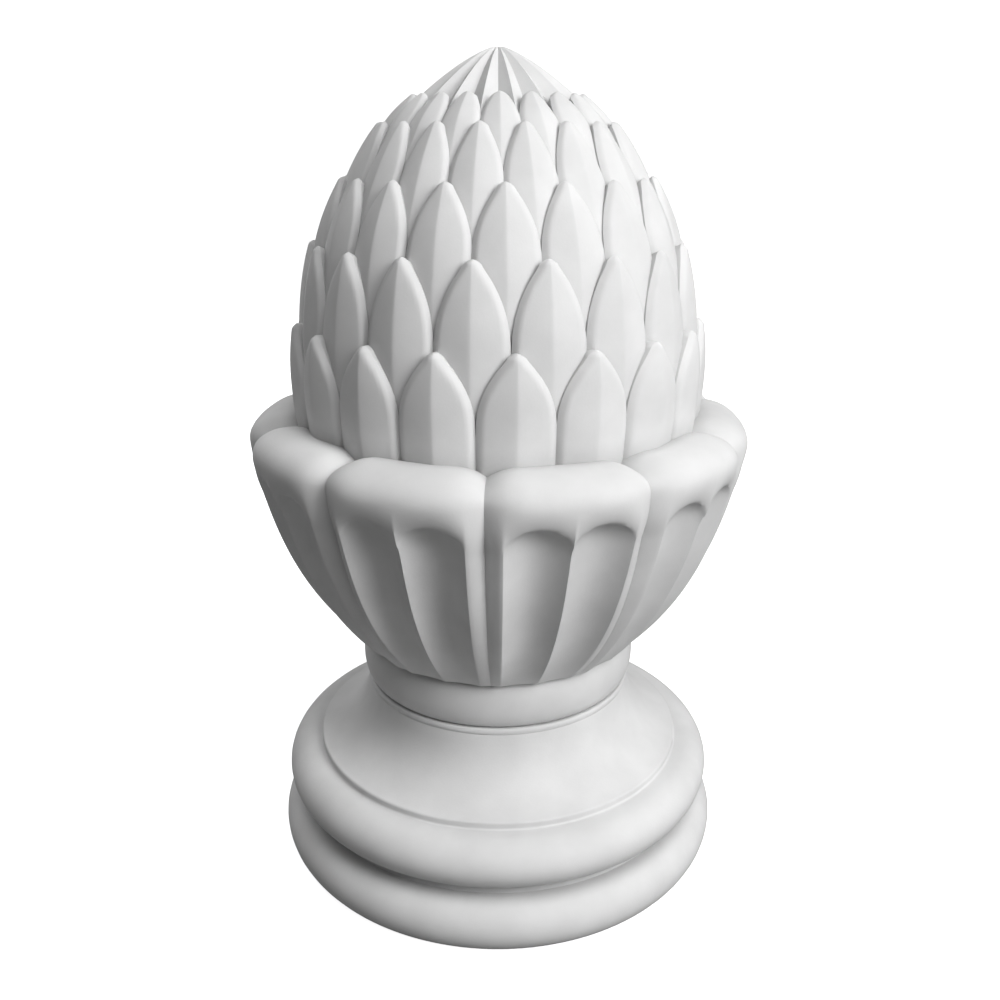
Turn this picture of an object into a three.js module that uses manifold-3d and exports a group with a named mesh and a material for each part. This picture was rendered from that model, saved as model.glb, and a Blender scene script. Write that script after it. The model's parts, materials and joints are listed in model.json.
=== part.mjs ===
// Pine-cone finial, cast in one piece. Two tori and a sweeping apron carry a collar, the collar carries
// a cup of rolled lobes, and a cone of keeled scales with a pleated cap stands in the cup.
// Millimetres, +Z up, the origin in the middle of the flat underside. Angle 0 faces -Y.
import * as THREE from 'three';
import { LoftGeometry } from 'three/addons/geometries/LoftGeometry.js';
import { mergeVertices } from 'three/addons/utils/BufferGeometryUtils.js';
import Module from 'manifold-3d';

// Base mouldings, from the ground up
const LOWER_TORUS_RADIUS = 140;
const LOWER_TORUS_HEIGHT = 33.4;
const GROOVE_HEIGHT = 5.2;
const UPPER_TORUS_RADIUS = 135.4;
const UPPER_TORUS_HEIGHT = 30.6;
const TORUS_SWELL = 17;
const STEP_HEIGHT = 4.6;
const APRON_RADIUS = 114.4;
const APRON_HEIGHT = 35.2;
const BAND_RADIUS = 82.6;
const BAND_HEIGHT = 4.5;
const COLLAR_RADIUS = 85;
const COLLAR_HEIGHT = 28.5;
const COLLAR_SWELL = 6.3;

// How far the apron's sweep is drawn towards its inner corner, as shares of its width and height
const SWEEP_ACROSS = 0.12;
const SWEEP_UP = 0.28;

// Cup: a bowl whose wall is LOBES petals, each rolled over at its lip and hollowed by two flutes
const LOBES = 10;
const LOBE_TURN = 14.6;
const CUP_FOOT_LIFT = 1;
const CUP_FOOT_RADIUS = 85.7;
const CUP_RADIUS = 145.5;
const CUP_HEIGHT = 126;
const LIP_RISE = 14;
const LIP_HALF_DEPTH = 21.5;
const SHOULDER_DROP = 6;
const SHOULDER_PINCH = 6.5;
const SHOULDER_SQUARENESS = 6;
const GROOVE_DEPTH = 7;
const FLUTE_DEPTH = 8.5;
const FLUTE_ARCH_RISE = 14;
const ARCH_DROP = 10.8;
const RIB_DROP = 1.5;

// The bowl's outline: the share of it that flares straight, and how round the rest is
const BOWL_FLARE = 0.45;
const BOWL_ROUNDNESS = 3;

// How much of their depth the grooves and flutes have at the cup's foot, and where flutes reach all of it
const GROOVE_AT_FOOT = 0.3;
const FLUTE_AT_FOOT = 0.2;
const FLUTE_FULL = 0.7;

// Cone
const SCALES = 18;
const SCALE_TURN = 5.2;
const ROW_DRIFT = -0.85;
const CONE_SINK = 11;
const CONE_FOOT_RADIUS = 117;
const CONE_RADIUS = 115.3;
const CONE_HEIGHT = 193.9;
const TIP_REACH = 6.5;
const SCALE_BED = 8;

// Each level is where a row of scales has its tips: the rise from the level below as a share of
// CONE_HEIGHT, the core under the scales as a share of CONE_RADIUS, and how far the tips stand out
// from the core as a share of TIP_REACH
const LEVELS = [
  { rise: 0.206, core: 1, tip: 0 },
  { rise: 0.195, core: 0.949, tip: 1 },
  { rise: 0.216, core: 0.852, tip: 0.94 },
  { rise: 0.172, core: 0.698, tip: 0.86 },
  { rise: 0.139, core: 0.524, tip: 0.77 },
  { rise: 0.072, core: 0.371, tip: 0.62 },
];

// A scale: its keel over its sides, the droop of its tip, how full and how round its arch is, and
// how wide its blunt tip is as a share of its pitch
const KEEL_HEIGHT = 4.2;
const TIP_DROOP = 1.2;
const DROOP_SHARPNESS = 4;
const ARCH_FULLNESS = 2.3;
const ARCH_ROUNDNESS = 0.86;
const TIP_BLUNT = 0.12;

// Cap: pleats that meet at the apex. Its foot lies under the last row's roots.
const CAP_RISE = 26.2;
const CAP_RIM_LIFT = 0.5;
const CAP_FOOT_LEVEL = 4.7;
const CAP_FULLNESS = 0.7;
const PLEAT_DEPTH = 3.4;
const APEX_RADIUS = 0.5;

// Finish
const STONE = new THREE.MeshStandardMaterial({ color: 0xe6e6e3, roughness: 0.82, metalness: 0 });

// Facets
const ROUND_STEPS = 36;
const TORUS_STEPS = 5;
const COLLAR_STEPS = 3;
const APRON_STEPS = 4;
const MERGE_WITHIN = 1e-3;

// Shares of a lobe's half width, from its middle rib (0) to its side groove (1)
const FLUTE_SIDE = 0.77;
const LOBE_STATIONS = [0, 0.12, 0.4, 0.67, FLUTE_SIDE, 1];

// Shares of the height from the cup's foot to the flutes' arches
const WALL_SHARES = [0, 0.2, 0.56, 0.94];

// Angles of the lip's rolled section, from its outermost line, over its top, down to the cone
const LIP_ANGLES = [0, 42, 86, 150];

// Shares of the cap's height, from its rim
const CAP_SHARES = [0, 0.42, 0.8, 1];

// Steps down a scale, counted in rows from its tip: 1 is its widest place and 2 its hidden root.
// The small scales at the top have fewer.
const SCALE_STEPS = [2, 1, 0.58, 0.25, 0];
const SMALL_SCALE_STEPS = [2, 1, 0.4, 0];
const FIRST_SMALL_ROW = 3;

const wasm = await Module();
wasm.setup();

const rad = THREE.MathUtils.degToRad;
const sum = (list) => list.reduce((total, value) => total + value, 0);

// A point at a radius, an angle in degrees and a height
function polar(radius, angle, z) {
  return new THREE.Vector3(radius * Math.sin(rad(angle)), -radius * Math.cos(rad(angle)), z);
}

// The closed solid inside a geometry, ready to be joined
function solid(geometry) {
  const bare = new THREE.BufferGeometry();
  bare.setAttribute('position', geometry.getAttribute('position'));
  bare.setIndex(geometry.getIndex());
  const merged = mergeVertices(bare, MERGE_WITHIN);
  const corners = merged.index.array;
  const kept = [];
  for (let i = 0; i < corners.length; i += 3) {
    const [a, b, c] = corners.slice(i, i + 3);
    if (a !== b && b !== c && c !== a) kept.push(a, b, c);
  }
  const triVerts = new Uint32Array(kept);
  return new wasm.Manifold(
    new wasm.Mesh({ numProp: 3, vertProperties: merged.attributes.position.array, triVerts }),
  );
}

// A body lofted through rings that each circle the axis, closed to points on the axis at both ends
function ringed(rings) {
  const pole = (ring) => ring.map(() => new THREE.Vector3(0, 0, ring[0].z));
  return solid(new LoftGeometry([pole(rings[0]), ...rings, pole(rings.at(-1))]));
}

// Points of half a moulding that swells out between two heights
function swell(radius, depth, low, height, steps) {
  const points = [];
  for (let i = 0; i <= steps; i += 1) {
    const angle = rad(-90 + (180 * i) / steps);
    const across = radius - depth + depth * Math.cos(angle);
    points.push(new THREE.Vector2(across, low + (height / 2) * (1 + Math.sin(angle))));
  }
  return points;
}

// Heights of the base, each standing on the one before
const upperTorusFoot = LOWER_TORUS_HEIGHT + GROOVE_HEIGHT;
const stepFoot = upperTorusFoot + UPPER_TORUS_HEIGHT;
const apronFoot = stepFoot + STEP_HEIGHT;
const bandFoot = apronFoot + APRON_HEIGHT;
const collarFoot = bandFoot + BAND_HEIGHT;
const cupFoot = collarFoot + COLLAR_HEIGHT + CUP_FOOT_LIFT;
const lipHeight = cupFoot + CUP_HEIGHT;
const lipCentre = CUP_RADIUS - LIP_HALF_DEPTH;

// The turned base, from the underside to just inside the cup
function base() {
  const apronWidth = APRON_RADIUS - BAND_RADIUS;
  const apron = new THREE.QuadraticBezierCurve(
    new THREE.Vector2(APRON_RADIUS, apronFoot),
    new THREE.Vector2(BAND_RADIUS + SWEEP_ACROSS * apronWidth, apronFoot + SWEEP_UP * APRON_HEIGHT),
    new THREE.Vector2(BAND_RADIUS, bandFoot),
  );
  const inner = COLLAR_RADIUS - 2 * COLLAR_SWELL;
  const profile = [
    new THREE.Vector2(0, 0),
    ...swell(LOWER_TORUS_RADIUS, TORUS_SWELL, 0, LOWER_TORUS_HEIGHT, TORUS_STEPS),
    ...swell(UPPER_TORUS_RADIUS, TORUS_SWELL, upperTorusFoot, UPPER_TORUS_HEIGHT, TORUS_STEPS),
    new THREE.Vector2(APRON_RADIUS, stepFoot),
    ...apron.getPoints(APRON_STEPS),
    new THREE.Vector2(BAND_RADIUS, collarFoot),
    ...swell(COLLAR_RADIUS, COLLAR_SWELL, collarFoot, COLLAR_HEIGHT, COLLAR_STEPS),
    new THREE.Vector2(inner, cupFoot + CUP_FOOT_LIFT),
    new THREE.Vector2(0, cupFoot + CUP_FOOT_LIFT),
  ];
  const turned = new THREE.LatheGeometry(profile, ROUND_STEPS);
  turned.rotateX(Math.PI / 2);
  return solid(turned);
}

// Radius of the bowl at a height: round at the foot, straighter towards the lip
function bowlRadius(z) {
  const share = (z - cupFoot) / CUP_HEIGHT;
  const curve = BOWL_FLARE * share + (1 - BOWL_FLARE) * (1 - (1 - share) ** BOWL_ROUNDNESS);
  return CUP_FOOT_RADIUS + (CUP_RADIUS - CUP_FOOT_RADIUS) * curve;
}

// How far across a flute a station lies, from -1 at the rib to 1 at the border, or null on the border
function acrossFlute(station) {
  return station > FLUTE_SIDE ? null : (2 * station) / FLUTE_SIDE - 1;
}

// Height of the arch that closes the flutes above a station
function archHeight(station) {
  const across = acrossFlute(station);
  const fall = across === null ? 1 : 1 - Math.sqrt(1 - across ** 2);
  return lipHeight - ARCH_DROP - FLUTE_ARCH_RISE * fall;
}

// How deep the carving is under the bowl's outline, at a station and a share of the wall's height
function carving(station, share) {
  if (station === 1) return GROOVE_DEPTH * (GROOVE_AT_FOOT + (1 - GROOVE_AT_FOOT) * share);
  const across = acrossFlute(station);
  if (across === null) return 0;
  const risen = Math.sin(rad(90 * Math.min(share / FLUTE_FULL, 1)));
  const rib = station === 0 ? RIB_DROP : 0;
  return (FLUTE_AT_FOOT + (1 - FLUTE_AT_FOOT) * risen) * (rib + FLUTE_DEPTH * Math.sqrt(1 - across ** 2));
}

// One ring of points round the cup; place gives a station's radius and height
function cupRing(place) {
  const ring = [];
  const mirrored = [...LOBE_STATIONS.slice(1, -1).reverse().map((s) => -s), ...LOBE_STATIONS];
  for (let lobe = 0; lobe < LOBES; lobe += 1) {
    for (const station of mirrored) {
      const { radius, z } = place(Math.abs(station));
      ring.push(polar(radius, LOBE_TURN + (lobe + station / 2) * (360 / LOBES), z));
    }
  }
  return ring;
}

// The fluted wall of the cup and its rolled lip, closed through the middle of the cone
function cup() {
  const wall = WALL_SHARES.map((share) => cupRing((station) => {
    const z = cupFoot + share * (archHeight(station) - cupFoot);
    return { radius: bowlRadius(z) - carving(station, share), z };
  }));
  const arch = cupRing((station) => {
    const z = archHeight(station);
    const groove = station === 1 ? GROOVE_DEPTH : 0;
    return { radius: bowlRadius(z) - groove, z };
  });
  const lip = LIP_ANGLES.map((angle) => cupRing((station) => {
    const shoulder = station ** SHOULDER_SQUARENESS;
    const depth = LIP_HALF_DEPTH - (angle < 90 ? SHOULDER_PINCH * shoulder : 0);
    const height = LIP_RISE - SHOULDER_DROP * shoulder;
    return {
      radius: lipCentre + depth * Math.cos(rad(angle)),
      z: lipHeight + height * Math.sin(rad(angle)),
    };
  }));
  return ringed([...wall, arch, ...lip]);
}

// The core's outline through every level, read by level number: 0 is its foot inside the cup
const coneFoot = lipHeight - CONE_SINK;
const levelHeights = LEVELS.map((level, i) => (
  coneFoot + CONE_HEIGHT * sum(LEVELS.slice(0, i + 1).map(({ rise }) => rise))
));
const apex = levelHeights.at(-1) + CAP_RISE;
const outline = new THREE.SplineCurve([
  new THREE.Vector2(CONE_FOOT_RADIUS, coneFoot),
  ...LEVELS.map(({ core }, i) => new THREE.Vector2(CONE_RADIUS * core, levelHeights[i])),
]);
const scalePitch = 360 / SCALES;

// A place on the core at a level number, raised square to the outline
function onCore(level, raised) {
  const at = outline.getPoint(level / LEVELS.length);
  const along = outline.getTangent(level / LEVELS.length);
  return { radius: at.x + raised * along.y, z: at.y - raised * along.x };
}

// Where a row's first scale is: each row stands over the gaps of the one below, a little turned
function rowTurn(row) {
  return SCALE_TURN + ROW_DRIFT * row + (row % 2 ? 0 : scalePitch / 2);
}

// One ring round a row of keeled scales, a step down from their tips. Each scale gives five points:
// its bed, side, keel, side and bed. Below its widest place it meets its neighbours in a valley.
function scaleRing(row, step) {
  const { tip } = LEVELS[row];
  const level = Math.max(row + 1 - step, 0);
  const free = step < 1;
  const arch = (1 - (1 - Math.min(step, 1)) ** ARCH_FULLNESS) ** ARCH_ROUNDNESS;
  const width = Math.max(arch, TIP_BLUNT);
  const droop = free ? TIP_DROOP * (1 - step) ** DROOP_SHARPNESS : 0;
  const keel = TIP_REACH * tip * (1 - (step / 2) ** 2) - droop;
  const edge = keel - KEEL_HEIGHT * tip * width;
  const side = onCore(level, edge);
  const bed = free ? onCore(level, -SCALE_BED) : side;
  const ridge = onCore(level, keel);
  const places = [[bed, -width / 2], [side, -width / 2], [ridge, 0], [side, width / 2], [bed, width / 2]];
  const ring = [];
  for (let i = 0; i < SCALES; i += 1) {
    for (const [place, across] of places) {
      ring.push(polar(place.radius, rowTurn(row) + scalePitch * (i + across), place.z));
    }
  }
  return ring;
}

// A row of scales as one crown, its tips free and its roots joined
function scaleRow(row) {
  const steps = row < FIRST_SMALL_ROW ? SCALE_STEPS : SMALL_SCALE_STEPS;
  return ringed(steps.map((step) => scaleRing(row, step)));
}

// One ring of the cap's pleats, each a ridge and a valley
function pleatRing(radius, z) {
  const depth = (PLEAT_DEPTH * radius) / (CONE_RADIUS * LEVELS.at(-1).core);
  const ring = [];
  for (let i = 0; i < SCALES; i += 1) {
    const turn = rowTurn(LEVELS.length) + scalePitch * i;
    ring.push(polar(radius, turn, z));
    ring.push(polar(radius - depth / 2, turn + scalePitch / 2, z - depth / 2));
  }
  return ring;
}

// The pleated cap that closes the cone
function cap() {
  const foot = onCore(CAP_FOOT_LEVEL, 0);
  const rim = onCore(LEVELS.length, CAP_RIM_LIFT);
  const rings = CAP_SHARES.map((share) => {
    const radius = Math.max(rim.radius * (1 - share) ** CAP_FULLNESS, APEX_RADIUS);
    return pleatRing(radius, rim.z + share * (apex - rim.z));
  });
  return ringed([pleatRing(foot.radius, foot.z), ...rings]);
}

// The whole casting as one closed body
function finial() {
  const rows = LEVELS.map((level, row) => (level.tip > 0 ? scaleRow(row) : [])).flat();
  const joined = wasm.Manifold.union([base(), cup(), cap(), ...rows]).getMesh();
  const geometry = new THREE.BufferGeometry();
  geometry.setAttribute('position', new THREE.BufferAttribute(joined.vertProperties, 3));
  geometry.setIndex(new THREE.BufferAttribute(joined.triVerts, 1));
  geometry.computeVertexNormals();
  const mesh = new THREE.Mesh(geometry, STONE);
  mesh.name = 'finial';
  return mesh;
}

const part = new THREE.Group();
part.add(finial());

export default part;
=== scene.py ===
"""A pine-cone finial of white cast stone, standing on a pale studio floor.

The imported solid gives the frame. The casting is modelled again in fine detail in its place: turned
mouldings, a cup of rolled and fluted lobes, rows of keeled scales and a pleated cap, cast together.
Lengths are in millimetres until a mesh is made, and angle 0 faces -Y.
"""

import json
import logging
import math
from dataclasses import dataclass, field
from enum import Enum
from itertools import pairwise
from typing import Callable

import bpy
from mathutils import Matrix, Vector

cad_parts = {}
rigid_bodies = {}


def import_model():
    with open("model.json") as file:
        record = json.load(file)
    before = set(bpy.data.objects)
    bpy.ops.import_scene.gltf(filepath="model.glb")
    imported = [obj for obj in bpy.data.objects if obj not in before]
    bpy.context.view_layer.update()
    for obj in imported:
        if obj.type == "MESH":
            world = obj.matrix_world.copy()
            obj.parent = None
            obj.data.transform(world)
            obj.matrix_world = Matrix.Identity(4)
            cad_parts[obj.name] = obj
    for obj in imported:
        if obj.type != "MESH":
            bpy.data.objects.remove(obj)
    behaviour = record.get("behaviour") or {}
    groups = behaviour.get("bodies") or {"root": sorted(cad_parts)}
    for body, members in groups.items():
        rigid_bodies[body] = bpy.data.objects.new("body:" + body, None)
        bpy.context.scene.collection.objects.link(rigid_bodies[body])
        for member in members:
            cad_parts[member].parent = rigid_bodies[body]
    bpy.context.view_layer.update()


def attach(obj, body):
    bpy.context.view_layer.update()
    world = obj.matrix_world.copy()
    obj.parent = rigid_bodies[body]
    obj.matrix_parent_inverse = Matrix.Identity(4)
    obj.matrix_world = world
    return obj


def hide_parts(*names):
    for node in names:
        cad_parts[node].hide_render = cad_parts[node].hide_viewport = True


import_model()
MM = 0.001
MERGE_WITHIN = 0.01
log = logging.getLogger("finial")

Place = tuple[float, float]


# Handwork in edit mode


def deselect() -> None:
    """Leave edit mode and select nothing."""
    if bpy.context.mode != "OBJECT":
        bpy.ops.object.mode_set(mode="OBJECT")
    bpy.ops.object.select_all(action="DESELECT")


def finish_editing() -> bpy.types.Object:
    """Merge doubles, turn every face outwards and leave edit mode.

    Returns:
        The edited piece.
    """
    bpy.ops.mesh.select_all(action="SELECT")
    bpy.ops.mesh.remove_doubles(threshold=MERGE_WITHIN * MM)
    bpy.ops.mesh.normals_make_consistent(inside=False)
    bpy.ops.object.mode_set(mode="OBJECT")
    return bpy.context.object


def draw_line(name: str, points: list[Vector]) -> bpy.types.Object:
    """Start a piece from one point, extruded along a line of points, and stay in edit mode.

    Args:
        name: The piece's name.
        points: The line's points, in millimetres.

    Returns:
        The new piece, with the last point selected.
    """
    deselect()
    bpy.ops.mesh.primitive_circle_add(vertices=3, radius=MM)
    piece = bpy.context.object
    piece.name = name
    bpy.ops.object.mode_set(mode="EDIT")
    bpy.ops.mesh.merge(type="CENTER")
    bpy.ops.transform.translate(value=points[0] * MM)
    for last, point in pairwise(points):
        bpy.ops.mesh.extrude_region_move(TRANSFORM_OT_translate={"value": (point - last) * MM})
    return piece


def extrude_to(shift: Vector, stretch: Vector, centre: Vector) -> None:
    """Extrude what is selected, and stretch it about a centre.

    Args:
        shift: How far it is extruded, in millimetres.
        stretch: Its new size over its old one along X, Y and Z.
        centre: The point that the stretch leaves where it is, in millimetres.
    """
    bpy.ops.mesh.extrude_region_move(TRANSFORM_OT_translate={"value": shift * MM})
    bpy.ops.transform.resize(value=stretch, center_override=centre * MM)


def turned(name: str, outline: list[Place], steps: int) -> bpy.types.Object:
    """Turn a solid from an outline that starts and ends on the axis.

    Args:
        name: The piece's name.
        outline: Radius and height of each point, in millimetres.
        steps: Facets round the axis.

    Returns:
        The turned piece.
    """
    draw_line(name, [Vector((radius, 0, z)) for radius, z in outline])
    bpy.ops.mesh.select_all(action="SELECT")
    bpy.ops.mesh.spin(steps=steps, angle=math.tau, center=(0, 0, 0), axis=(0, 0, 1))
    return finish_editing()


def shaped_grid(
    name: str, across: int, along: int, place: Callable[[int, int], Vector]
) -> bpy.types.Object:
    """Lay a grid over a surface, a place for each of its corners.

    Args:
        name: The piece's name.
        across: Faces across it.
        along: Faces along it.
        place: Gives the place, in millimetres, of the corner at a column and a row.

    Returns:
        The piece, an open sheet.
    """
    deselect()
    bpy.ops.mesh.primitive_grid_add(x_subdivisions=across, y_subdivisions=along, size=2)
    piece = bpy.context.object
    piece.name = name
    for vertex in piece.data.vertices:
        column = round((vertex.co.x + 1) / 2 * across)
        row = round((vertex.co.y + 1) / 2 * along)
        vertex.co = place(column, row) * MM
    return piece


def soften(passes: int) -> None:
    """Smooth the active sheet's edges a little.

    Args:
        passes: How many times each corner is drawn halfway to its neighbours.
    """
    bpy.ops.object.mode_set(mode="EDIT")
    bpy.ops.mesh.select_all(action="SELECT")
    bpy.ops.mesh.vertices_smooth(factor=0.5, repeat=passes)
    bpy.ops.object.mode_set(mode="OBJECT")


def backed(share: float, centre: Vector) -> bpy.types.Object:
    """Give the active sheet a body: it is extruded, and its back drawn in towards a centre.

    Args:
        share: The size of the back over that of the front.
        centre: What it is drawn in to, in millimetres.

    Returns:
        The closed piece.
    """
    bpy.ops.object.mode_set(mode="EDIT")
    bpy.ops.mesh.select_all(action="SELECT")
    bpy.ops.mesh.extrude_region_move(TRANSFORM_OT_translate={"value": (0, 0, 0)})
    bpy.ops.transform.resize(value=(share, share, share), center_override=centre * MM)
    return finish_editing()


def apply_modifier(piece: bpy.types.Object, kind: str, **settings: object) -> None:
    """Add a modifier to a piece and apply it.

    Args:
        piece: The piece that gets it.
        kind: The modifier's type.
        settings: Its settings by name.
    """
    deselect()
    piece.select_set(True)
    bpy.context.view_layer.objects.active = piece
    modifier = piece.modifiers.new(kind.title(), kind)
    for key, value in settings.items():
        setattr(modifier, key, value)
    bpy.ops.object.modifier_apply(modifier=modifier.name)


def turned_copies(piece: bpy.types.Object, angles: list[float]) -> list[bpy.types.Object]:
    """Copy a piece round the axis, each copy with a mesh of its own.

    Args:
        piece: The piece modelled at angle 0, which becomes the first of them.
        angles: Where each one goes, in degrees.

    Returns:
        All the pieces.
    """
    pieces = [piece]
    for _ in angles[1:]:
        deselect()
        piece.select_set(True)
        bpy.context.view_layer.objects.active = piece
        bpy.ops.object.duplicate(linked=False)
        pieces.append(bpy.context.object)
    for copy, angle in zip(pieces, angles):
        copy.rotation_euler.z = math.radians(angle)
    deselect()
    for copy in pieces:
        copy.select_set(True)
    bpy.ops.object.transform_apply(location=False, rotation=True, scale=False)
    return pieces


def arc(centre: Place, reach: Place, start: float, end: float, steps: int) -> list[Place]:
    """Outline along an arc of an ellipse.

    Args:
        centre: Radius and height of its centre.
        reach: Half its width and half its height.
        start: The angle where it starts, in degrees: 0 points outwards and 90 up.
        end: The angle where it ends.
        steps: Facets along it.

    Returns:
        Radius and height of each point.
    """
    angles = [math.radians(start + (end - start) * i / steps) for i in range(steps + 1)]
    return [(centre[0] + reach[0] * math.cos(a), centre[1] + reach[1] * math.sin(a)) for a in angles]


def swell(radius: float, depth: float, low: float, height: float, steps: int) -> list[Place]:
    """Outline of half a moulding that swells out between two heights.

    Args:
        radius: Its largest radius.
        depth: How far it stands out.
        low: The height of its lower edge.
        height: From its lower edge to its upper one.
        steps: Facets along the arc.

    Returns:
        Radius and height of each point.
    """
    return arc((radius - depth, low + height / 2), (depth, height / 2), -90, 90, steps)


@dataclass
class BaseMouldings:
    """The turned foot: two tori, a step, a sweeping apron, a band and a collar.

    sweep_across and sweep_up are shares of the apron's width and height.
    """

    lower_radius: float = 140.0
    lower_height: float = 33.4
    groove_height: float = 5.2
    upper_radius: float = 135.4
    upper_height: float = 30.6
    torus_swell: float = 17.0
    step_height: float = 4.6
    step_edge: float = 1.3
    step_cove: float = 1.3
    apron_radius: float = 114.4
    apron_height: float = 35.2
    sweep_across: float = 0.12
    sweep_up: float = 0.28
    band_radius: float = 82.6
    band_height: float = 4.5
    band_swell: float = 1.3
    band_from: float = -50.0
    collar_radius: float = 85.0
    collar_height: float = 28.5
    collar_swell: float = 6.3
    arc_steps: int = 18
    edge_steps: int = 4
    round_steps: int = 180
    into_cup: float = 3.0

    @property
    def upper_foot(self) -> float:
        """Height where the upper torus starts."""
        return self.lower_height + self.groove_height

    @property
    def step_foot(self) -> float:
        """Height where the step starts."""
        return self.upper_foot + self.upper_height

    @property
    def band_foot(self) -> float:
        """Height where the apron ends and the band starts."""
        return self.step_foot + self.step_height + self.apron_height

    @property
    def collar_foot(self) -> float:
        """Height where the collar starts."""
        return self.band_foot + self.band_height

    @property
    def top(self) -> float:
        """Height of the collar's upper edge."""
        return self.collar_foot + self.collar_height

    def apron(self) -> list[Place]:
        """Outline of the apron, which sweeps from the step up to the band.

        Returns:
            Radius and height of each point.
        """
        low = self.step_foot + self.step_height
        width = self.apron_radius - self.band_radius
        start = Vector((self.apron_radius - self.step_edge, low))
        pull_up = low + self.sweep_up * self.apron_height
        pull = Vector((self.band_radius + self.sweep_across * width, pull_up))
        end = Vector((self.band_radius, self.band_foot))
        shares = [i / self.arc_steps for i in range(self.arc_steps + 1)]
        points = [start * (1 - t) ** 2 + pull * 2 * t * (1 - t) + end * t * t for t in shares]
        return [(point.x, point.y) for point in points]

    def build(self) -> bpy.types.Object:
        """Turn the whole foot.

        Returns:
            The piece.
        """
        arcs, edges = self.arc_steps, self.edge_steps
        head = self.top + self.into_cup
        inside = self.collar_radius - 2 * self.collar_swell
        cove, edge = self.step_cove, self.step_edge
        rim = self.step_foot + self.step_height - edge
        band = (self.band_radius - self.band_swell, self.band_foot + self.band_height / 2)
        outline = [
            (0.0, 0.0),
            *swell(self.lower_radius, self.torus_swell, 0, self.lower_height, arcs),
            *swell(self.upper_radius, self.torus_swell, self.upper_foot, self.upper_height, arcs),
            *arc((self.apron_radius + cove, self.step_foot + cove), (cove, cove), -90, -180, edges),
            *arc((self.apron_radius - edge, rim), (edge, edge), 0, 90, edges),
            *self.apron()[1:-1],
            *arc(band, (self.band_swell, self.band_height / 2), self.band_from, 90, arcs // 2),
            *swell(self.collar_radius, self.collar_swell, self.collar_foot, self.collar_height, arcs),
            (inside, head),
            (0.0, head),
        ]
        return turned("base_mouldings", outline, self.round_steps)


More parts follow.
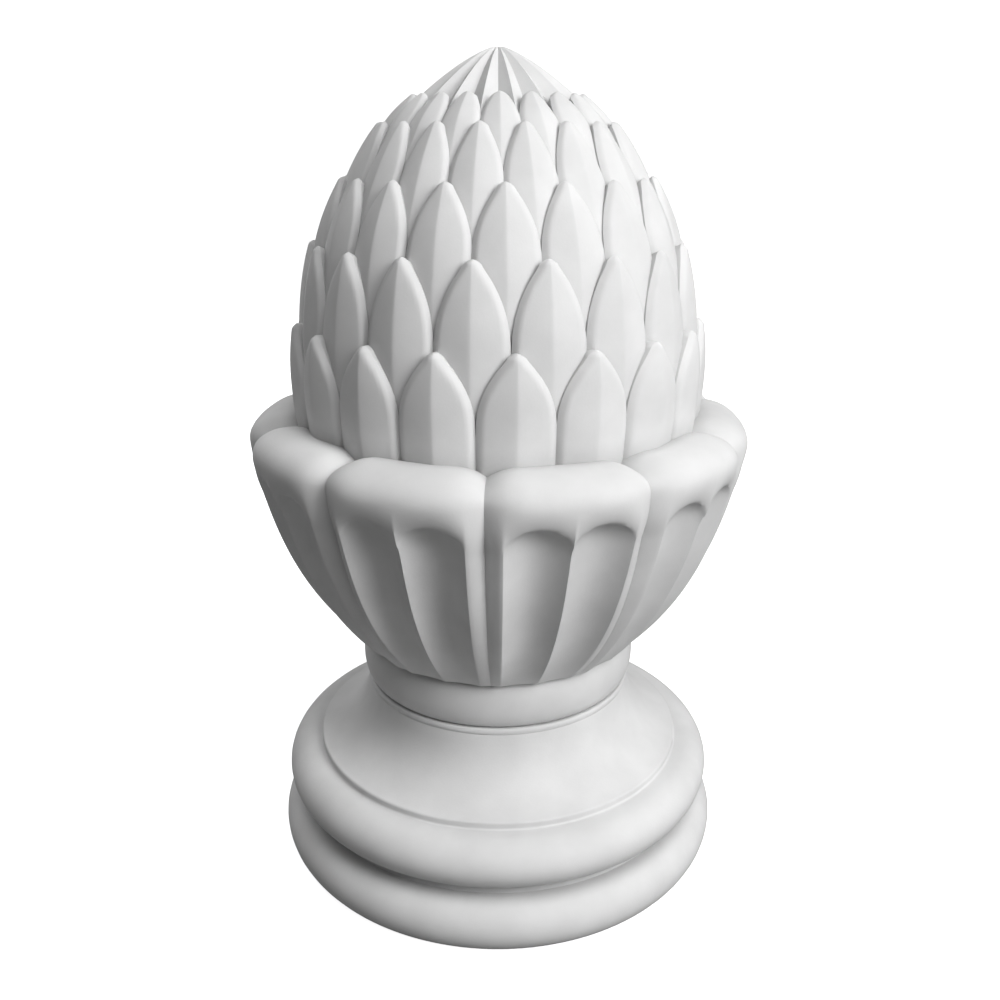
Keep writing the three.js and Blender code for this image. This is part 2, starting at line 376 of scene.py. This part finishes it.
@dataclass
class LobedCup:
    """The cup: rolled lobes with two flutes each, round a plug that closes their middle.

    The stations run from 0 on a lobe's middle rib to 1 in the groove beside it, and a little on.
    Flare, lip_face, shoulder_start, flute_side and flute_full are shares, as are the names that end
    in share, step or at_foot, apart from plug_at_foot.
    """

    foot: float
    lobes: int = 10
    turn: float = 14.9
    foot_radius: float = 85.7
    radius: float = 145.3
    height: float = 126.0
    flare: float = 0.45
    roundness: float = 3.0
    lip_rise: float = 14.0
    lip_depth: float = 21.5
    lip_face: float = 0.3
    lip_turn: float = 165.0
    shoulder_start: float = 0.5
    shoulder_drop: float = 6.5
    shoulder_power: float = 2.5
    shoulder_sink: float = 2.2
    groove_depth: float = 7.0
    groove_at_foot: float = 0.14
    border_power: float = 1.5
    flute_side: float = 0.77
    flute_depth: float = 9.2
    flute_power: float = 1.9
    lip_recess: float = 1.0
    flute_at_foot: float = 0.16
    flute_full: float = 0.55
    rib_drop: float = 1.5
    arch_drop: float = 10.8
    arch_rise: float = 13.0
    spoon: float = 11.0
    spoon_step: float = 0.48
    plug_at_foot: float = 3.0
    plug_depth: float = 12.5
    back_share: float = 0.8
    heart_share: float = 0.55
    unevenness: float = 0.9
    uneven_beat: float = 5.0
    soft_passes: int = 1
    stations: tuple[float, ...] = (
        *(0, 0.015, 0.04, 0.08, 0.14, 0.21, 0.29, 0.385, 0.48, 0.56, 0.63, 0.69, 0.73, 0.755),
        *(0.77, 0.79, 0.82, 0.86, 0.90, 0.94, 0.97, 1.0, 1.06),
    )
    wall_steps: int = 26
    lip_steps: int = 22
    plug_steps: int = 96

    @property
    def lip(self) -> float:
        """Height of the lip's widest line."""
        return self.foot + self.height

    @property
    def half_pitch(self) -> float:
        """Half of a lobe's angle, in degrees."""
        return 180 / self.lobes

    def wall_radius(self, z: float) -> float:
        """Outline of the wall between its grooves and flutes.

        Args:
            z: The height.

        Returns:
            The outer radius there.
        """
        share = (z - self.foot) / self.height
        curve = self.flare * share + (1 - self.flare) * (1 - (1 - share) ** self.roundness)
        return self.foot_radius + (self.radius - self.foot_radius) * curve

    def risen(self, share: float) -> float:
        """How much of their depth the flutes have gained at a share of the wall's height."""
        return math.sin(math.pi / 2 * min(share / self.flute_full, 1))

    def hollow(self, station: float) -> float:
        """How far a flute is scooped at a station, 1 in its middle and 0 at its edges."""
        across = 2 * station / self.flute_side - 1
        return math.sqrt(max(1 - across**2, 0))

    def arch(self, station: float) -> float:
        """Height of the arch that closes the flutes above a station."""
        return self.lip - self.arch_drop - self.arch_rise * (1 - self.hollow(station))

    def border(self, station: float) -> float:
        """How far the border slopes down to the groove at a station, 1 in the groove."""
        return (max(station - self.flute_side, 0) / (1 - self.flute_side)) ** self.border_power

    def wall_place(self, station: float, share: float) -> Place:
        """A place on the wall under the arches.

        Args:
            station: 0 at the lobe's middle rib and 1 in its side groove.
            share: 0 at the foot and 1 at the arch.

        Returns:
            Its radius and height.
        """
        z = self.foot + share * (self.arch(station) - self.foot)
        under = min((self.arch(station) - z) / self.spoon, 1)
        closing = self.spoon_step + (1 - self.spoon_step) * math.sqrt(1 - (1 - under) ** 2)
        rib = self.rib_drop * max(1 - station / self.flute_side, 0)
        scoop = (self.flute_at_foot + (1 - self.flute_at_foot) * self.risen(share)) * closing
        scoop *= rib + self.flute_depth * self.hollow(station) ** self.flute_power
        groove = self.groove_depth * (self.groove_at_foot + (1 - self.groove_at_foot) * share)
        return self.wall_radius(z) - scoop - groove * self.border(station), z

    def lip_place(self, station: float, share: float) -> Place:
        """A place on the lip, from the arches over its crest and down inside.

        Args:
            station: 0 at the lobe's middle rib and 1 in its side groove.
            share: 0 at the arch and 1 inside the cone.

        Returns:
            Its radius and height.
        """
        face = self.lip_face
        shoulder = max(station - self.shoulder_start, 0) / (1 - self.shoulder_start)
        soft = min(share / face, 1)
        sunk = (1 - soft) * self.border(station) + soft * shoulder**self.shoulder_sink
        groove = self.groove_depth * sunk
        if share < face:
            under = (1 - share / face) ** 2
            recess = self.lip_recess * self.hollow(station)
            lean = self.radius - self.wall_radius(self.arch(station))
            z = self.arch(station) + share / face * (self.lip - self.arch(station))
            return self.radius - groove - (lean + recess) * under, z
        angle = math.radians(self.lip_turn * (share - face) / (1 - face))
        across = self.lip_depth - groove * math.sqrt(max(math.cos(angle), 0))
        rise = self.lip_rise - self.shoulder_drop * shoulder**self.shoulder_power
        radius = self.radius - self.lip_depth + across * math.cos(angle)
        return radius, self.lip + rise * math.sin(angle)

    def build_lobe(self) -> bpy.types.Object:
        """Model one lobe: a sheet with its flutes, border and rolled lip, given a body behind.

        Returns:
            The piece, at angle 0.
        """
        last = len(self.stations) - 1

        def place(column: int, row: int) -> Vector:
            side = -1 if column < last else 1
            station = self.stations[abs(column - last)]
            if row <= self.wall_steps:
                radius, z = self.wall_place(station, row / self.wall_steps)
            else:
                radius, z = self.lip_place(station, (row - self.wall_steps - 1) / self.lip_steps)
            angle = math.radians(self.half_pitch * station * side)
            return Vector((radius * math.sin(angle), -radius * math.cos(angle), z))

        shaped_grid("lobe", 2 * last, self.wall_steps + 1 + self.lip_steps, place)
        soften(self.soft_passes)
        return backed(self.back_share, Vector((0, 0, self.foot + self.heart_share * self.height)))

    def build(self) -> list[bpy.types.Object]:
        """Model the lobes and the plug between them.

        Returns:
            The pieces.
        """
        angles = []
        for i in range(self.lobes):
            even = self.turn + 2 * self.half_pitch * i
            angles.append(even + self.unevenness * math.sin(self.uneven_beat * i))
        return [*turned_copies(self.build_lobe(), angles), self.build_plug()]

    def build_plug(self) -> bpy.types.Object:
        """Turn the plug that the lobes stand round.

        Returns:
            The piece.
        """
        outline = [(0.0, self.foot)]
        for i in range(self.wall_steps + 1):
            share = i / self.wall_steps
            z = self.foot + self.height * share
            depth = self.plug_at_foot + (self.plug_depth - self.plug_at_foot) * self.risen(share)
            outline.append((self.wall_radius(z) - depth, z))
        outline.append((0.0, self.lip))
        return turned("cup_plug", outline, self.plug_steps)


@dataclass
class Level:
    """Where a row of scales has its tips, and how blunt they are.

    rise is counted from the level below, core is the core's radius, and tip is how far a tip stands
    out from the core, 0 for a level without scales.
    """

    rise: float
    core: float
    tip: float
    blunt: float


@dataclass
class PineCone:
    """The cone: rows of keeled scales on a core, and a pleated cap.

    A step is the distance from one level to the next, counted down from a scale's tip: sink_from,
    root_step and slope_step are in steps. across runs from 0 on the keel to 1 on the edge.
    """

    foot: float
    foot_radius: float = 117.0
    scales: int = 18
    turn: float = 5.2
    drift: float = -0.85
    keel_height: float = 3.6
    keel_fall: float = 0.45
    keel_bend: float = 1.9
    sink_from: float = 1.8
    sink_rate: float = 60.0
    deepest: float = 7.0
    arch_power: float = 2.3
    arch_round: float = 0.86
    spread: float = 0.06
    tip_blend: float = 3.0
    tip_flat: float = 0.05
    keel_round: float = 0.04
    rim: float = 2.9
    rim_fall: float = 2.4
    rim_power: float = 1.05
    rim_at_tip: float = 0.1
    slope_step: float = 0.02
    smallest_share: float = 0.3
    root_step: float = 2.4
    across: tuple[float, ...] = (0, 0.03, 0.09, 0.25, 0.45, 0.62, 0.74, 0.82, 0.89, 0.94, 0.975, 1)
    scale_rows: int = 26
    row_crowding: float = 1.8
    back_share: float = 0.9
    heart: float = 330.0
    core_sink: float = 5.5
    core_steps: int = 40
    core_round_steps: int = 90
    unevenness: float = 0.25
    uneven_beat: float = 3.1
    cap_rise: float = 26.2
    cap_rim_lift: float = 0.5
    cap_fullness: float = 0.7
    cap_foot_level: float = 4.7
    pleat_depth: float = 7.0
    cap_steps: int = 14
    cap_crowding: float = 1.5
    apex_flat: float = 3.6
    levels: list[Level] = field(
        default_factory=lambda: [
            Level(rise=40, core=115.3, tip=0, blunt=4),
            Level(rise=37.8, core=109.8, tip=6.5, blunt=3.8),
            Level(rise=41.9, core=98.6, tip=6.1, blunt=3.8),
            Level(rise=33.4, core=80.8, tip=5.6, blunt=3.8),
            Level(rise=26.9, core=60.4, tip=5.0, blunt=3.8),
            Level(rise=13.9, core=42.8, tip=4.0, blunt=4),
        ]
    )

    @property
    def pitch(self) -> float:
        """The angle from a scale to the next, in degrees."""
        return 360 / self.scales

    @property
    def apex(self) -> float:
        """Height of the finial's top."""
        return self.foot + sum(level.rise for level in self.levels) + self.cap_rise

    def knots(self) -> list[Vector]:
        """List the places that the core's outline passes through.

        Returns:
            Radius and height at the core's foot and at every level.
        """
        points = [Vector((self.foot_radius, self.foot))]
        z = self.foot
        for level in self.levels:
            z += level.rise
            points.append(Vector((level.core, z)))
        return points

    def on_core(self, number: float, raised: float) -> Vector:
        """A place on the core's smooth outline.

        Args:
            number: The level number, 0 at the foot.
            raised: How far it stands out square to the outline, in millimetres.

        Returns:
            Its radius and height.
        """
        points = self.knots()
        i = min(int(number), len(points) - 2)
        t = number - i
        start, end = points[i], points[i + 1]
        before, after = points[max(i - 1, 0)], points[min(i + 2, len(points) - 1)]
        lead, trail = (end - before) / 2, (after - start) / 2
        cubic = 2 * start - 2 * end + lead + trail
        square = -3 * start + 3 * end - 2 * lead - trail
        at = cubic * t**3 + square * t**2 + lead * t + start
        along = (3 * cubic * t**2 + 2 * square * t + lead).normalized()
        return Vector((at.x + raised * along.y, at.y - raised * along.x))

    def row_turn(self, row: int) -> float:
        """Angle of a row's first scale, over the gaps of the row below."""
        return self.turn + self.drift * row + (0 if row % 2 else self.pitch / 2)

    def half_width(self, row: int) -> float:
        """Half the full width of a row's scales, in millimetres."""
        return math.radians(self.pitch / 2) * self.levels[row].core

    def size_share(self, row: int) -> float:
        """How large a row's rims and tips are, over those of the largest row."""
        whole = self.levels[row].core / self.levels[1].core
        return self.smallest_share + (1 - self.smallest_share) * whole

    def arch_width(self, row: int, step: float) -> float:
        """Outline of a scale: an arch with a rounded tip.

        Args:
            row: The row's number.
            step: How far it is down from the tip.

        Returns:
            The width there, as a share of the full width.
        """
        level = self.levels[row]
        arch = (1 - max(1 - step, 0) ** self.arch_power) ** self.arch_round
        down = min(step * level.rise + self.tip_flat, level.blunt / 2)
        blunt = math.sqrt(2 * level.blunt * down)
        both = arch**self.tip_blend + (blunt / self.half_width(row)) ** self.tip_blend
        return both ** (1 / self.tip_blend) + self.spread * max(step - 1, 0)

    def rim_drop(self, row: int, step: float, side: float) -> float:
        """How far a scale's rounded rim lies under its face.

        Args:
            row: The row's number.
            step: 0 at the tip and 1 at the widest place, counted in rows.
            side: 0 on the keel and 1 at the edge.

        Returns:
            The drop, in millimetres.
        """
        rise = self.levels[row].rise
        half = self.half_width(row)
        width = self.arch_width(row, step)
        wider = self.arch_width(row, step + self.slope_step) - width
        slope = wider / self.slope_step * half / rise
        beside = (1 - side) * width * half / math.sqrt(1 + slope**2)
        rim = self.rim * self.size_share(row)
        near = min(beside, step * rise + self.rim_at_tip * rim) / rim
        fall = self.rim_fall * rim / self.rim
        return fall * (1 - min(near, 1)) ** self.rim_power

    def build_scale(self, row: int) -> bpy.types.Object:
        """Model one scale: a keeled sheet with a rounded rim, given a body behind.

        Args:
            row: The row that it belongs to.

        Returns:
            The piece, at angle 0.
        """
        tip = self.levels[row].tip
        last = len(self.across) - 1

        def place(column: int, line: int) -> Vector:
            step = self.root_step * (1 - line / self.scale_rows) ** self.row_crowding
            across = math.copysign(self.across[abs(column - last)], column - last)
            width = self.arch_width(row, step)
            keel = tip * (1 - self.keel_fall * step**self.keel_bend)
            keel -= self.sink_rate * max(step - self.sink_from, 0) ** 2
            fall = self.keel_height * tip / self.levels[1].tip * width
            side = math.sqrt(across**2 + self.keel_round**2) - self.keel_round
            face = keel - fall * side - self.rim_drop(row, step, abs(across))
            at = self.on_core(max(row + 1 - step, 0), max(face, -self.deepest))
            angle = math.radians(self.pitch / 2 * width * across)
            return Vector((at.x * math.sin(angle), -at.x * math.cos(angle), at.y))

        shaped_grid("scale", 2 * last, self.scale_rows, place)
        return backed(self.back_share, Vector((0, 0, self.heart)))

    def build_core(self) -> bpy.types.Object:
        """Turn the core that the scales are rooted in.

        Returns:
            The piece.
        """
        ends = len(self.levels)
        steps = self.core_steps
        places = [self.on_core(ends * i / steps, -self.core_sink) for i in range(steps + 1)]
        outline = [(0.0, places[0].y), *[(p.x, p.y) for p in places], (0.0, places[-1].y)]
        return turned("cone_core", outline, self.core_round_steps)

    def build_cap(self) -> bpy.types.Object:
        """Model the cap: a pleated ring drawn up and in to the apex.

        Returns:
            The piece.
        """
        rim = self.on_core(len(self.levels), self.cap_rim_lift)
        first = math.radians(self.row_turn(len(self.levels)))
        ring = []
        for i in range(2 * self.scales):
            angle = first + math.pi * i / self.scales
            sink = self.pleat_depth / 2 if i % 2 else 0
            reach = rim.x - sink
            ring.append(Vector((reach * math.sin(angle), -reach * math.cos(angle), rim.y - sink)))
        foot = self.on_core(self.cap_foot_level, 0)
        wide = foot.x / rim.x
        low = Vector((0, 0, foot.y - rim.y))
        foot_ring = [Vector((point.x * wide, point.y * wide, point.z)) + low for point in ring]
        draw_line("cap", foot_ring)
        bpy.ops.mesh.select_all(action="SELECT")
        bpy.ops.mesh.edge_face_add()
        extrude_to(-low, Vector((1 / wide, 1 / wide, 1)), Vector())
        top = 1 - (self.apex_flat / rim.x) ** (1 / self.cap_fullness)
        steps = self.cap_steps
        shares = [top * (1 - (1 - i / steps) ** self.cap_crowding) for i in range(steps + 1)]
        for last, share in pairwise(shares):
            drawn = ((1 - share) / (1 - last)) ** self.cap_fullness
            height = rim.y + share * (self.apex - rim.y)
            rise = (share - last) * (self.apex - rim.y)
            extrude_to(Vector((0, 0, rise)), Vector((drawn, drawn, drawn)), Vector((0, 0, height)))
        extrude_to(Vector(), Vector((0, 0, 0)), Vector((0, 0, height)))
        return finish_editing()

    def build(self) -> list[bpy.types.Object]:
        """Model the core, every row of scales and the cap.

        Returns:
            The pieces.
        """
        pieces = [self.build_core(), self.build_cap()]
        for row, level in enumerate(self.levels):
            if level.tip > 0:
                turns = [self.row_turn(row) + self.pitch * i for i in range(self.scales)]
                beats = [math.sin(self.uneven_beat * turn + row) for turn in turns]
                angles = [turn + self.unevenness * beat for turn, beat in zip(turns, beats)]
                pieces += turned_copies(self.build_scale(row), angles)
        return pieces


@dataclass
class Casting:
    """The finial as cast: all its forms fused in one body.

    crease is the angle, in degrees, from which an edge is shaded sharp.
    """

    crease: float = 38.0
    cup_lift: float = 1.0
    cone_sink: float = 11.0
    most_triangles: int = 196_000

    def build(self, finish: "CastStone") -> bpy.types.Object:
        """Model every form and cast them in one piece.

        Args:
            finish: The casting's finish.

        Returns:
            The piece.
        """
        base = BaseMouldings()
        cup = LobedCup(foot=base.top + self.cup_lift)
        cone = PineCone(foot=cup.lip - self.cone_sink)
        body = base.build()
        forms = bpy.data.collections.new("forms")
        for form in [*cup.build(), *cone.build()]:
            forms.objects.link(form)
        fused = {"operation": "UNION", "solver": "MANIFOLD", "operand_type": "COLLECTION"}
        apply_modifier(body, "BOOLEAN", **fused, collection=forms)
        for form in list(forms.objects):
            bpy.data.objects.remove(form)
        bpy.data.collections.remove(forms)
        body.name = body.data.name = "finial_cast"
        triangles = sum(len(face.vertices) - 2 for face in body.data.polygons)
        log.info("cast with %d triangles", triangles)
        if triangles > self.most_triangles:
            apply_modifier(body, "DECIMATE", ratio=self.most_triangles / triangles)
        deselect()
        body.select_set(True)
        bpy.context.view_layer.objects.active = body
        bpy.ops.object.shade_smooth_by_angle(angle=math.radians(self.crease))
        body.data.materials.clear()
        body.data.materials.append(finish.material())
        return body


class Socket(Enum):
    """Inputs of the surface shader that the materials set."""

    COLOUR = "Base Color"
    ROUGHNESS = "Roughness"
    SPECULAR = "Specular IOR Level"
    NORMAL = "Normal"
    GLOW = "Emission Color"
    GLOW_STRENGTH = "Emission Strength"


def new_material(name: str) -> tuple[bpy.types.Material, bpy.types.Node]:
    """Make a node material.

    Args:
        name: Its name.

    Returns:
        The material and its surface shader.
    """
    material = bpy.data.materials.new(name)
    material.use_nodes = True
    return material, material.node_tree.nodes["Principled BSDF"]


@dataclass(frozen=True)
class CastStone:
    """White cast stone: matt, faintly mottled, with fine pores, and painted shade that darkens its
    crevices.

    The noises' scales are in cycles to the metre, and crevice_shade is the tone of the painted shade
    in the deepest crevice over that of the open surface.
    """

    light: tuple[float, float, float] = (0.72, 0.72, 0.72)
    dark: tuple[float, float, float] = (0.655, 0.655, 0.655)
    dark_below: float = 0.3
    light_above: float = 0.7
    mottle_scale: float = 38.0
    mottle_detail: float = 5.0
    # Painted shade: tone of the deepest crevice over that of the open surface.
    crevice_shade: float = 0.62
    crevice_reach: float = 14.0
    crevice_open: float = 0.85
    crevice_samples: int = 8
    roughness: float = 0.82
    specular: float = 0.3
    grain_scale: float = 900.0
    grain_detail: float = 3.0
    grain_strength: float = 0.12
    grain_depth: float = 0.4

    def material(self) -> bpy.types.Material:
        """Make the node material.

        Returns:
            The material.
        """
        material, shader = new_material("cast_stone")
        links = material.node_tree.links
        shader.inputs[Socket.ROUGHNESS.value].default_value = self.roughness
        shader.inputs[Socket.SPECULAR.value].default_value = self.specular
        place = material.node_tree.nodes.new("ShaderNodeTexCoord").outputs["Object"]
        links.new(self.colour(material.node_tree, place), shader.inputs[Socket.COLOUR.value])
        links.new(self.grain(material.node_tree, place), shader.inputs[Socket.NORMAL.value])
        return material

    def colour(self, tree: bpy.types.NodeTree, place: bpy.types.NodeSocket) -> bpy.types.NodeSocket:
        """Add the mottled tone, with painted shade darkening the crevices.

        Args:
            tree: The node tree that gets it.
            place: The object's own coordinates.

        Returns:
            The colour.
        """
        nodes, links = tree.nodes, tree.links
        mottle = self.noise(tree, place, self.mottle_scale, self.mottle_detail)
        ramp = nodes.new("ShaderNodeValToRGB")
        low, high = ramp.color_ramp.elements
        low.position = self.dark_below
        low.color = (*self.dark, 1)
        high.position = self.light_above
        high.color = (*self.light, 1)
        links.new(mottle, ramp.inputs["Fac"])
        # Painted shade: ambient occlusion scales the mottled colour down in crevices and recesses.
        painted_shade_occlusion = nodes.new("ShaderNodeAmbientOcclusion")
        painted_shade_occlusion.inputs["Distance"].default_value = self.crevice_reach * MM
        painted_shade_occlusion.samples = self.crevice_samples
        shade = nodes.new("ShaderNodeMapRange")
        shade.inputs["From Max"].default_value = self.crevice_open
        shade.inputs["To Min"].default_value = self.crevice_shade
        links.new(painted_shade_occlusion.outputs["AO"], shade.inputs["Value"])
        painted_crevice_shade = nodes.new("ShaderNodeVectorMath")
        painted_crevice_shade.operation = "SCALE"
        links.new(ramp.outputs["Color"], painted_crevice_shade.inputs["Vector"])
        links.new(shade.outputs["Result"], painted_crevice_shade.inputs["Scale"])
        return painted_crevice_shade.outputs["Vector"]

    def grain(self, tree: bpy.types.NodeTree, place: bpy.types.NodeSocket) -> bpy.types.NodeSocket:
        """Add the fine grain of the cast surface.

        Args:
            tree: The node tree that gets it.
            place: The object's own coordinates.

        Returns:
            The bumped normal.
        """
        bump = tree.nodes.new("ShaderNodeBump")
        bump.inputs["Strength"].default_value = self.grain_strength
        bump.inputs["Distance"].default_value = self.grain_depth * MM
        pores = self.noise(tree, place, self.grain_scale, self.grain_detail)
        tree.links.new(pores, bump.inputs["Height"])
        return bump.outputs["Normal"]

    def noise(
        self, tree: bpy.types.NodeTree, place: bpy.types.NodeSocket, scale: float, detail: float
    ) -> bpy.types.NodeSocket:
        """Add a noise texture.

        Args:
            tree: The node tree that gets it.
            place: The object's own coordinates.
            scale: Cycles to the metre.
            detail: Octaves.

        Returns:
            The noise's strength.
        """
        noise = tree.nodes.new("ShaderNodeTexNoise")
        noise.inputs["Scale"].default_value = scale
        noise.inputs["Detail"].default_value = detail
        tree.links.new(place, noise.inputs["Vector"])
        return noise.outputs["Fac"]


@dataclass(frozen=True)
class Lamp:
    """A soft square light: where it hangs and its side in metres, and its power in watts."""

    name: str
    place: tuple[float, float, float]
    side: float
    power: float


@dataclass
class Studio:
    """Pale floor and backdrop, soft light and the camera."""

    distance: float = 586.6
    height: float = 434.0
    pitch: float = 19.74
    lens: float = 36.68
    shift: float = 0.002
    nearest: float = 10.0
    sky: float = 0.165
    backdrop_reach: float = 4.0
    backdrop_side: float = 16.0
    backdrop_glow: float = 1.0
    floor_tone: tuple[float, float, float, float] = (0.9, 0.9, 0.9, 1)
    floor_roughness: float = 0.9
    floor_glow: float = 0.88
    white: tuple[float, float, float, float] = (1, 1, 1, 1)
    aim: tuple[float, float, float] = (0, 0, 0.24)
    lamps: tuple[Lamp, ...] = (
        Lamp("key", (1.15, -1.0, 1.05), 0.8, 22.5),
        Lamp("top", (0.7, -1.2, 2.6), 1.8, 32.0),
        Lamp("back", (-1.1, 1.5, 1.0), 1.2, 14.0),
    )

    def build(self) -> None:
        """Set up the floor, the backdrop, the camera, the lights and the sky."""
        self.build_floor()
        self.build_backdrop()
        self.build_camera()
        for lamp in self.lamps:
            self.hang(lamp)
        world = bpy.data.worlds.new("studio")
        bpy.context.scene.world = world
        world.use_nodes = True
        sky = world.node_tree.nodes["Background"]
        sky.inputs["Color"].default_value = self.white
        sky.inputs["Strength"].default_value = self.sky
        bpy.context.scene.view_settings.view_transform = "Standard"

    def dress(self, sheet: bpy.types.Object, name: str, glow: float) -> bpy.types.Node:
        """Give a sheet a material that glows, and keep its light off the finial.

        Args:
            sheet: The floor or the backdrop.
            name: The material's name.
            glow: How strongly it glows.

        Returns:
            The material's surface shader.
        """
        material, shader = new_material(name)
        shader.inputs[Socket.GLOW.value].default_value = self.white
        shader.inputs[Socket.GLOW_STRENGTH.value].default_value = glow
        sheet.data.materials.append(material)
        sheet.visible_diffuse = False
        sheet.visible_glossy = False
        return shader

    def build_floor(self) -> None:
        """Lay the pale floor, wide enough to fill the view."""
        deselect()
        bpy.ops.mesh.primitive_plane_add(size=self.backdrop_side)
        floor = bpy.context.object
        floor.name = "floor"
        shader = self.dress(floor, "pale_floor", self.floor_glow)
        shader.inputs[Socket.COLOUR.value].default_value = self.floor_tone
        shader.inputs[Socket.ROUGHNESS.value].default_value = self.floor_roughness

    def build_backdrop(self) -> None:
        """Stand a lit backdrop far behind the finial."""
        deselect()
        upright = (math.pi / 2, 0, 0)
        behind = (0, self.backdrop_reach, 0)
        bpy.ops.mesh.primitive_plane_add(size=self.backdrop_side, location=behind, rotation=upright)
        backdrop = bpy.context.object
        backdrop.name = "backdrop"
        self.dress(backdrop, "lit_backdrop", self.backdrop_glow)
        backdrop.visible_shadow = False

    def build_camera(self) -> None:
        """Place the camera where the photograph was taken from."""
        camera = bpy.data.objects.new("camera", bpy.data.cameras.new("camera"))
        bpy.context.collection.objects.link(camera)
        camera.location = (0, -self.distance * MM, self.height * MM)
        camera.rotation_euler = (math.radians(90 - self.pitch), 0, 0)
        camera.data.lens = self.lens
        camera.data.shift_x = self.shift
        camera.data.clip_start = self.nearest * MM
        bpy.context.scene.camera = camera

    def hang(self, lamp: Lamp) -> None:
        """Hang a light that faces the finial.

        Args:
            lamp: The light.
        """
        light = bpy.data.lights.new(lamp.name, "AREA")
        light.size = lamp.side
        light.energy = lamp.power
        hung = bpy.data.objects.new(lamp.name, light)
        bpy.context.collection.objects.link(hung)
        hung.location = lamp.place
        aim = Vector(self.aim) - Vector(lamp.place)
        hung.rotation_euler = aim.to_track_quat("-Z", "Y").to_euler()


def main() -> None:
    """Build the casting and the studio, and report each piece."""
    logging.basicConfig(level=logging.INFO, format="%(name)s: %(message)s")
    casting = Casting().build(CastStone())
    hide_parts("finial")
    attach(casting, "root")
    log.info("%s: %d faces", casting.name, len(casting.data.polygons))
    Studio().build()


if __name__ == "__main__":
    main()
